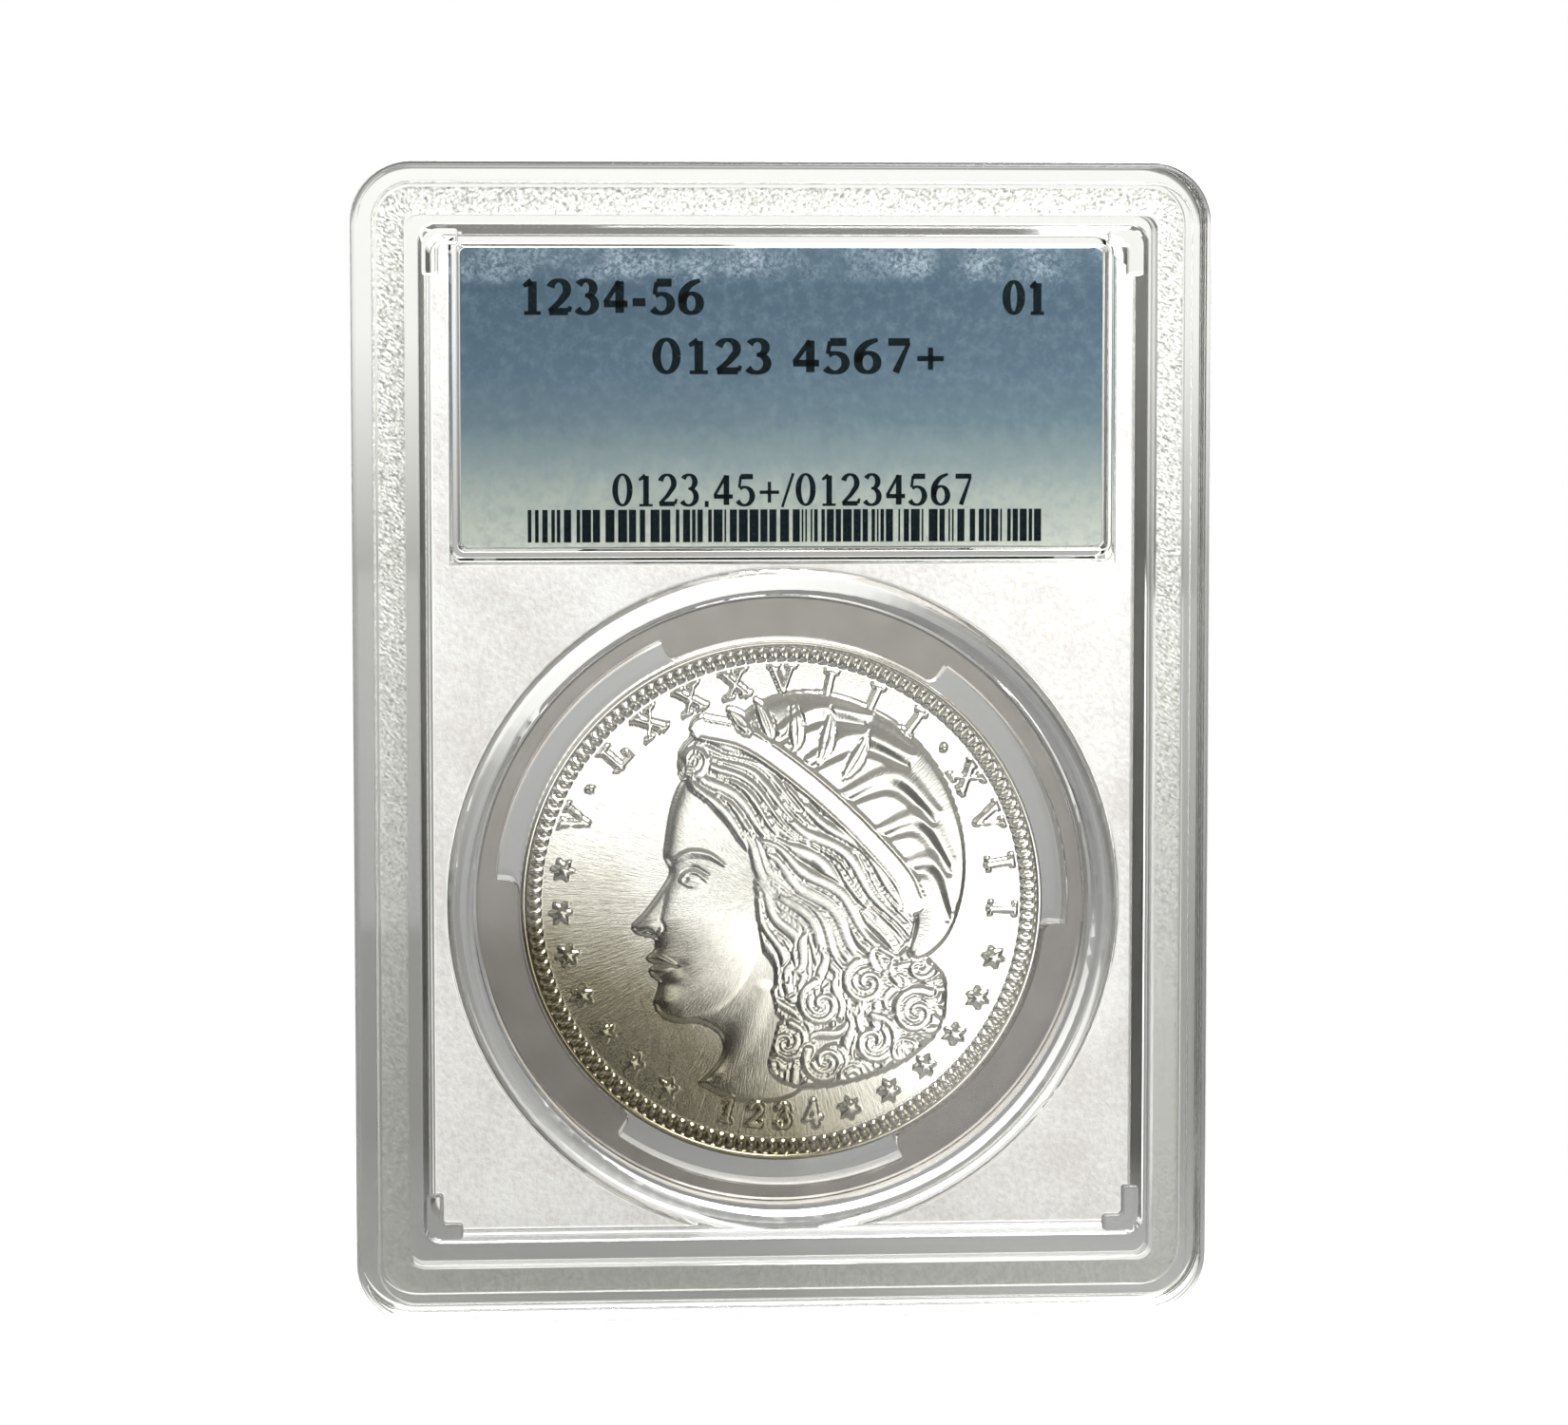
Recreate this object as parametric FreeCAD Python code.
import FreeCAD, Part
import math
import os

# A graded coin slab: a dollar-size silver coin and a printed card sealed between
# two clear polystyrene shells, which are welded together round the edge.
# Millimetres. X is the width, Z is up, and the front faces -Y. The origin is the
# middle of the bottom edge, where the slab stands. Depths are measured along Y
# from the seam, which is at Y = 0. The holder is sized round the coin and the card.

# --- Coin ---
coin_diameter = 38.1
coin_thickness = 2.4
coin_rim_width = 1.35
coin_rim_height = 0.32
coin_edge_round = 0.12

# --- Gasket that centres the coin, and the collar round it ---
coin_clearance = 0.05
coin_end_gap = 0.5
tab_reach = 1.7
tab_count = 3
tab_angle = 60.0
tab_start = -65.0
tab_corner = 0.8
gasket_width = 1.45
gasket_clearance = 0.1
collar_wall = 1.25
collar_end_gap = 0.05

# --- Label card, its chamber and the sticker on its back ---
card_width = 46.4
card_height = 21.5
card_thickness = 0.35
card_corner = 0.5
card_clearance = 0.15
pocket_wall = 0.6
pocket_depth = 1.1
post_size = 1.6
post_inset = 1.0
sticker_width = 15.0
sticker_height = 10.0
sticker_thickness = 0.08

# --- Round bead and label frame, raised on the window panels ---
bead_width = 2.1
bead_height = 0.4
raised_root = 0.15
bezel_side = 0.85
bezel_ends = 1.2
bezel_height = 0.35
bezel_slope = 0.25
bezel_corner = 0.7
bezel_round = 0.1
bead_to_bezel = 0.2
card_to_rim = 0.6
bead_to_rim = 0.75

# --- Shells and weld ---
panel_wall = 1.5
seam_gap = 0.3
weld_inset = 1.85
weld_width = 2.0
corner_radius = 4.4
edge_round = 0.5
rim_round = 0.25

# --- Rims, which let slabs stack ---
rim_side = 4.8
rim_top = 4.6
rim_bottom = 6.0
rim_height = 0.9
rim_slope = 1.0
rim_corner = 1.2
flange_width = 1.5
flange_drop = 0.6
stack_clearance = 0.2
stack_gap = 0.1

# --- Stepped blocks and rounded pads in the front rim's inner corners ---
step_low = (2.9, 1.45)
step_tall = (1.5, 3.6)
step_below_rim = 0.25
step_round = 0.3
pad_radius = 3.2
pad_height = 0.45

# --- Radii and half sizes worked out from the values above ---
coin_radius = coin_diameter / 2
tab_radius = coin_radius + coin_clearance
gasket_inner = tab_radius + tab_reach
gasket_outer = gasket_inner + gasket_width
collar_inner = gasket_outer + gasket_clearance
collar_outer = collar_inner + collar_wall
bead_outer = collar_inner + bead_width
bezel_half = card_width / 2 + bezel_side

# --- Heights above the bottom edge ---
coin_centre_z = rim_bottom + bead_outer
card_bottom_z = coin_centre_z + bead_outer + bead_to_bezel + bezel_ends
card_middle_z = card_bottom_z + card_height / 2
height = card_bottom_z + card_height + card_to_rim + rim_slope + rim_top

# --- Width, and depths from the seam ---
width = 2 * (max(bead_outer, bezel_half) + bead_to_rim + rim_slope + rim_side)
cavity_half = coin_thickness / 2 + coin_end_gap
back_panel = cavity_half + panel_wall
back = back_panel + rim_height
front_panel = -back_panel
front = -back
seam_half = seam_gap / 2
cavity_inset = weld_inset + weld_width
card_back = -cavity_half + card_thickness

Vector = FreeCAD.Vector
coin_centre = Vector(0, 0, coin_centre_z)
towards_back = Vector(0, 1, 0)


def outline(size_x, size_z, bottom, y, radius):
    """Closed wire of a rounded rectangle, centred on X = 0, in the plane at depth y."""
    quarters = ((1, 1), (-1, 1), (-1, -1), (1, -1))

    def point(degrees, quarter):
        side, up = quarters[quarter % 4]
        turn = math.radians(degrees)
        x = side * (size_x / 2 - radius) + radius * math.cos(turn)
        z = bottom + size_z / 2 + up * (size_z / 2 - radius) + radius * math.sin(turn)
        return Vector(x, y, z)

    edges = []
    for quarter in range(4):
        start = 90 * quarter
        corner = [point(start + step, quarter) for step in (0, 45, 90)]
        edges.append(Part.Arc(*corner).toShape())
        edges.append(Part.LineSegment(corner[2], point(start + 90, quarter + 1)).toShape())
    return Part.Wire(edges)


def prism(size_x, size_z, bottom, y_near, y_far, radius):
    """Straight block with rounded corners between two depths."""
    face = Part.Face(outline(size_x, size_z, bottom, y_near, radius))
    return face.extrude(Vector(0, y_far - y_near, 0))


def inset_prism(inset, y_near, y_far):
    """Block with the holder's outline, drawn in by an inset on every side."""
    radius = corner_radius - min(inset, corner_radius * 0.75)
    return prism(width - 2 * inset, height - 2 * inset, inset, y_near, y_far, radius)


def tapered(size_x, size_z, bottom, y_near, y_far, radius, shrink):
    """Block whose outline is drawn in by shrink at its far depth."""
    near = outline(size_x, size_z, bottom, y_near, radius)
    far = outline(size_x - 2 * shrink, size_z - 2 * shrink, bottom + shrink, y_far, radius)
    return Part.makeLoft([near, far], True)


def round_edges_at(shape, y, radius):
    """Rounds every edge that lies flat in the plane at depth y."""
    flat = [e for e in shape.Edges if e.BoundBox.YLength < 1e-6 and abs(e.BoundBox.YMin - y) < 1e-6]
    return shape.makeFillet(radius, flat)


def tube(outer, inner, y_near, y_far):
    """Ring round the coin's axis between two depths."""
    start = coin_centre + towards_back * y_near
    length = y_far - y_near
    return Part.makeCylinder(outer, length, start, towards_back).cut(
        Part.makeCylinder(inner, length, start, towards_back))


def cavity(y_near, y_far):
    """Inner space of the holder, inside the weld."""
    return inset_prism(cavity_inset, y_near, y_far)


def recess(y_rim, y_panel):
    """Space inside a raised rim, down to the panel, with sloping walls."""
    size_x = width - 2 * rim_side
    size_z = height - rim_top - rim_bottom
    return tapered(size_x, size_z, rim_bottom, y_rim, y_panel, rim_corner, rim_slope)


def round_bead(y_panel, outward):
    """Half-round bead that rings the coin window; outward is -1 at the front and 1 at the back."""
    inner = collar_inner
    root = y_panel - outward * raised_root
    crest = y_panel + outward * bead_height
    low = Vector(inner, root, coin_centre_z)
    high = Vector(inner + bead_width, root, coin_centre_z)
    middle = Vector(inner + bead_width / 2, crest, coin_centre_z)
    profile = Part.Wire([Part.Arc(low, middle, high).toShape(), Part.LineSegment(high, low).toShape()])
    return Part.Face(profile).revolve(coin_centre, towards_back, 360)


def label_bezel(y_panel, outward):
    """Raised frame round the label window, with sloping sides."""
    crest = y_panel + outward * bezel_height
    root = y_panel - outward * raised_root
    size_z = card_height + 2 * bezel_ends
    bottom = card_bottom_z - bezel_ends
    frame = tapered(2 * bezel_half, size_z, bottom, root, crest, bezel_corner, bezel_slope)
    window = tapered(card_width + 2 * bezel_slope, card_height + 2 * bezel_slope, card_bottom_z - bezel_slope,
                     crest, root, card_corner, bezel_slope)
    return round_edges_at(frame.cut(window), crest, bezel_round)


def corner_steps(y_near, y_far):
    """Stair-shaped blocks with rounded edges in the four inner corners of the front rim."""
    blocks = []
    half = width / 2 - rim_side
    for side in (-1, 1):
        for up in (-1, 1):
            corner_z = rim_bottom if up < 0 else height - rim_top
            arms = []
            for size_x, size_z in (step_low, step_tall):
                x = side * half - (size_x if side > 0 else 0)
                z = corner_z - (size_z if up > 0 else 0)
                arms.append(Part.makeBox(size_x, y_far - y_near, size_z, Vector(x, y_near, z)))
            stair = arms[0].fuse(arms[1]).removeSplitter()
            upright = [e for e in stair.Edges if e.BoundBox.YLength > 1e-6]
            blocks.append(round_edges_at(stair.makeFillet(step_round, upright), y_near, step_round))
    return blocks


def corner_pads(y_panel):
    """Rounded pads in the front rim's two upper corners, clipped to the recess."""
    pads = []
    for side in (-1, 1):
        centre = Vector(side * (width / 2 - rim_side), y_panel - pad_height, height - rim_top)
        disc = Part.makeCylinder(pad_radius, pad_height + raised_root, centre, towards_back)
        pads.append(disc.common(inset_prism(min(rim_side, rim_top) - rim_slope / 2, y_panel - pad_height, 0)))
    return pads


def make_front_shell():
    """Front half: stepped rim, window panel, collar for the gasket and pocket for the card."""
    flange = inset_prism(0, front + flange_drop, -seam_half)
    flange = round_edges_at(flange, front + flange_drop, edge_round)
    rim = inset_prism(flange_width, front, -seam_half)
    shell = flange.fuse(rim).cut(recess(front, front_panel))
    shell = round_edges_at(shell, front, rim_round).cut(cavity(-cavity_half, 0))

    pocket_outer = prism(card_width + 2 * (card_clearance + pocket_wall),
                         card_height + 2 * (card_clearance + pocket_wall),
                         card_bottom_z - card_clearance - pocket_wall,
                         -cavity_half, -cavity_half + pocket_depth, card_corner + pocket_wall)
    pocket_inner = prism(card_width + 2 * card_clearance, card_height + 2 * card_clearance,
                         card_bottom_z - card_clearance,
                         -cavity_half, -cavity_half + pocket_depth, card_corner)
    collar = tube(collar_outer, collar_inner, -cavity_half, cavity_half - collar_end_gap)
    added = [round_bead(front_panel, -1), label_bezel(front_panel, -1),
             pocket_outer.cut(pocket_inner), collar]
    added += corner_steps(front + step_below_rim, front_panel + raised_root)
    added += corner_pads(front_panel)
    return shell.multiFuse(added).removeSplitter()


def make_back_shell():
    """Back half: flat rim with a stacking lip, window panel and posts that hold the card."""
    lip_width = flange_width - stack_clearance
    lip_height = flange_drop - stack_gap
    rim_face = back - lip_height
    lip = inset_prism(0, seam_half, back)
    lip = round_edges_at(lip, back, edge_round)
    shell = lip.cut(inset_prism(lip_width, rim_face, back)).cut(recess(back, back_panel))
    shell = shell.cut(cavity(0, cavity_half))

    added = [round_bead(back_panel, 1), label_bezel(back_panel, 1)]
    reach_x = card_width / 2 - post_inset - post_size
    for x in (-reach_x - post_size, reach_x):
        for z in (card_bottom_z + post_inset, card_bottom_z + card_height - post_inset - post_size):
            added.append(Part.makeBox(post_size, cavity_half - card_back, post_size, Vector(x, card_back, z)))
    return shell.multiFuse(added).removeSplitter()


def make_weld_bead():
    """Fused plastic between the two shells, a closed ring round the holder."""
    outer = inset_prism(weld_inset, -seam_half, seam_half)
    return outer.cut(inset_prism(cavity_inset, -seam_half, seam_half))


def make_gasket():
    """Clear ring inside the collar, with broad tabs that reach in to the coin's edge."""
    ring = tube(gasket_outer, gasket_inner, -cavity_half, cavity_half)
    root = (gasket_inner + gasket_outer) / 2
    tabs = []
    for number in range(tab_count):
        middle = tab_start + tab_angle / 2 + number * 360.0 / tab_count
        turns = [math.radians(middle + share * tab_angle / 2) for share in (-1, 0, 1)]
        inner, outer = ([coin_centre + Vector(r * math.cos(a), -cavity_half, r * math.sin(a)) for a in turns]
                        for r in (tab_radius, root))
        edges = [Part.Arc(*inner).toShape(), Part.LineSegment(inner[2], outer[2]).toShape(),
                 Part.Arc(*outer).toShape(), Part.LineSegment(outer[0], inner[0]).toShape()]
        tab = Part.Face(Part.Wire(edges)).extrude(Vector(0, 2 * cavity_half, 0))
        tips = [e for e in tab.Edges if e.BoundBox.YLength > cavity_half
                and math.hypot(e.BoundBox.Center.x, e.BoundBox.Center.z - coin_centre_z) < gasket_inner]
        tabs.append(tab.makeFillet(tab_corner, tips))
    return ring.multiFuse(tabs).removeSplitter()


def make_coin():
    """Coin blank: a disc with a raised rim on both faces."""
    half = coin_thickness / 2
    disc = Part.makeCylinder(coin_radius, coin_thickness, coin_centre - towards_back * half, towards_back)
    for y in (-half, half):
        disc = round_edges_at(disc, y, coin_edge_round)
    field_radius = coin_radius - coin_rim_width
    for start in (-half, half - coin_rim_height):
        field = Part.makeCylinder(field_radius, coin_rim_height, coin_centre + towards_back * start, towards_back)
        disc = disc.cut(field)
    return disc


def make_label_card():
    """Printed card, flat against the inside of the front window."""
    return prism(card_width, card_height, card_bottom_z, -cavity_half, card_back, card_corner)


def make_security_sticker():
    """Foil sticker on the back of the card."""
    bottom = card_middle_z - sticker_height / 2
    return prism(sticker_width, sticker_height, bottom, card_back, card_back + sticker_thickness, card_corner)


makers = {
    "front_shell": make_front_shell,
    "back_shell": make_back_shell,
    "weld_bead": make_weld_bead,
    "coin_gasket": make_gasket,
    "coin": make_coin,
    "label_card": make_label_card,
    "security_sticker": make_security_sticker,
}

os.makedirs("parts", exist_ok=True)
for node, make in makers.items():
    shape = make()
    shape.exportStep(f"parts/{node}.step")
    box = shape.BoundBox
    print(f"{node}: {len(shape.Solids)} solid, valid {shape.isValid()}, {shape.Volume:.0f} mm3, "
          f"{box.XLength:.2f} x {box.YLength:.2f} x {box.ZLength:.2f} mm")
